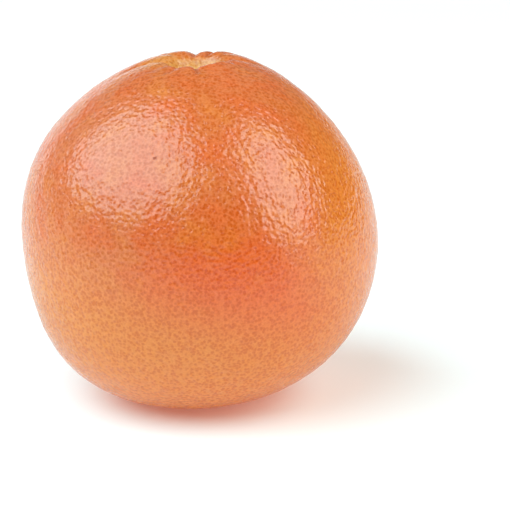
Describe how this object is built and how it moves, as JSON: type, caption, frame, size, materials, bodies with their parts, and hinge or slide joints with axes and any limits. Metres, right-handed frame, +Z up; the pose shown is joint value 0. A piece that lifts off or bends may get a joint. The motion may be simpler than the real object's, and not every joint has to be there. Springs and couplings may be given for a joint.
{
  "type": "grapefruit",
  "caption": "Whole round citrus fruit with a furrowed stem hollow and a dried calyx button in it, standing on a small flat spot.",
  "frame": {"origin": "middle of the small flat spot the fruit rests on, under the middle of its width and depth", "axes": "+Z up along the stem axis, from the resting spot to the stem end; -X is the side whose shoulder is fuller; -Y is the front"},
  "size_m": [0.1037, 0.1036, 0.1015],
  "materials": {
    "peel": "satin",
    "calyx": "matte"
  },
  "bodies": {
    "root": {"fruit": "peel", "stem_button": "calyx"}
  },
  "joints": []
}
